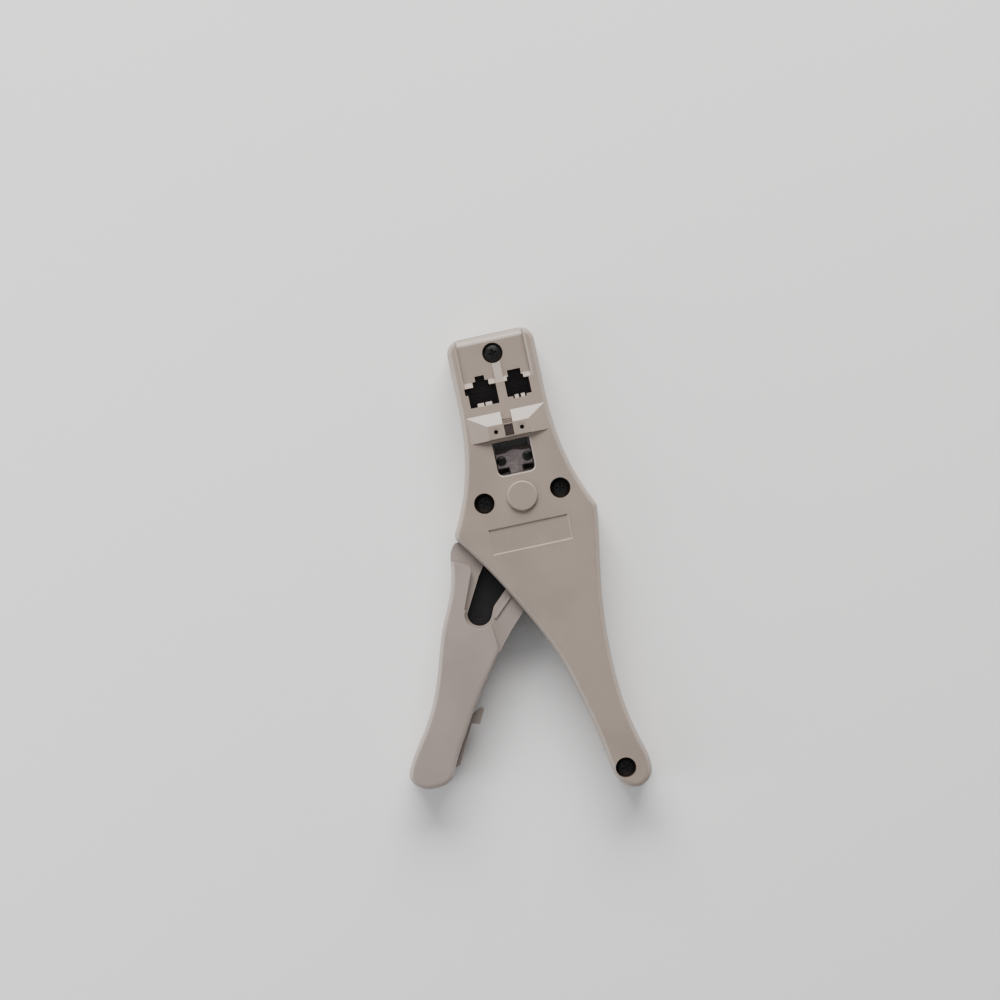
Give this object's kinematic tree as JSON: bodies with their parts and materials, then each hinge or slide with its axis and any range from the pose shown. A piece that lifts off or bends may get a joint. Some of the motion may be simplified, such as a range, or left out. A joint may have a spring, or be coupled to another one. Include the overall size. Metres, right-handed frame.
{
  "type": "modular plug crimping tool",
  "caption": "Hand crimping tool with a flat plastic body, two plug sockets, a cable cutter behind a raised guard, and a pivoting handle that drives a ram.",
  "frame": {"origin": "on the rear face, on the axis of the handle's pivot", "axes": "+Y up to the crimping head, +Z out of the front face, +X to the right seen from the front"},
  "size_m": [0.0973, 0.1925, 0.0244],
  "materials": {
    "body_plastic": "satin moulded ABS, warm beige grey, fine spark-eroded grain",
    "grip_plastic": "satin moulded ABS, the same as the body",
    "nest_plastic": "dark glass-filled plastic",
    "black_screw": "black oxide steel",
    "black_steel": "black oxide stamped steel plate",
    "zinc_ram": "grey zinc-plated plate",
    "blade_steel": "ground tool steel",
    "clamp_steel": "grey zinc-plated plate",
    "pin_steel": "turned bright steel",
    "spring_steel": "drawn spring wire",
    "die_steel": "hardened steel",
    "washer_plastic": "natural acetal",
    "lock_plastic": "satin moulded plastic"
  },
  "bodies": {
    "body": {"front_shell": "body_plastic", "rear_shell": "body_plastic", "shell_screws": "black_screw", "pivot_pin": "pin_steel", "pivot_washers": "washer_plastic", "counter_blade": "blade_steel", "counter_blade_pins": "black_screw", "eight_way_nest": "nest_plastic", "six_way_nest": "nest_plastic", "ram_springs": "spring_steel"},
    "handle": {"handle_front": "grip_plastic", "handle_rear": "grip_plastic", "cam_lever": "black_steel", "lock_pin": "pin_steel"},
    "ram": {"ram": "zinc_ram", "cutter_blade": "blade_steel", "blade_clamp": "clamp_steel", "clamp_screws": "black_screw", "eight_way_contact_die": "die_steel", "six_way_contact_die": "die_steel", "eight_way_strain_presser": "die_steel", "six_way_strain_presser": "die_steel", "die_screws": "black_screw"},
    "lock": {"lock_lever": "lock_plastic"}
  },
  "joints": [
    {"name": "handle_pivot", "type": "hinge", "parent": "body", "child": "handle", "pos_m": [0, 0, 0.011], "axis": [0, 0, 1], "range_deg": [0, 20], "stiffness_Nm_per_rad": 0.8, "springref_deg": -17.19},
    {"name": "ram_slide", "type": "slide", "parent": "body", "child": "ram", "axis": [0, 1, 0], "range_m": [0, 0.0035], "deforming": ["ram_springs"]},
    {"name": "lock_hinge", "type": "hinge", "parent": "handle", "child": "lock", "pos_m": [-0.0509, -0.10134, 0.011], "axis": [0, 0, 1], "range_deg": [-45, 0]}
  ],
  "couplings": [
    {"joint": "ram_slide", "follows": "handle_pivot", "m_per_rad": 0.01}
  ]
}
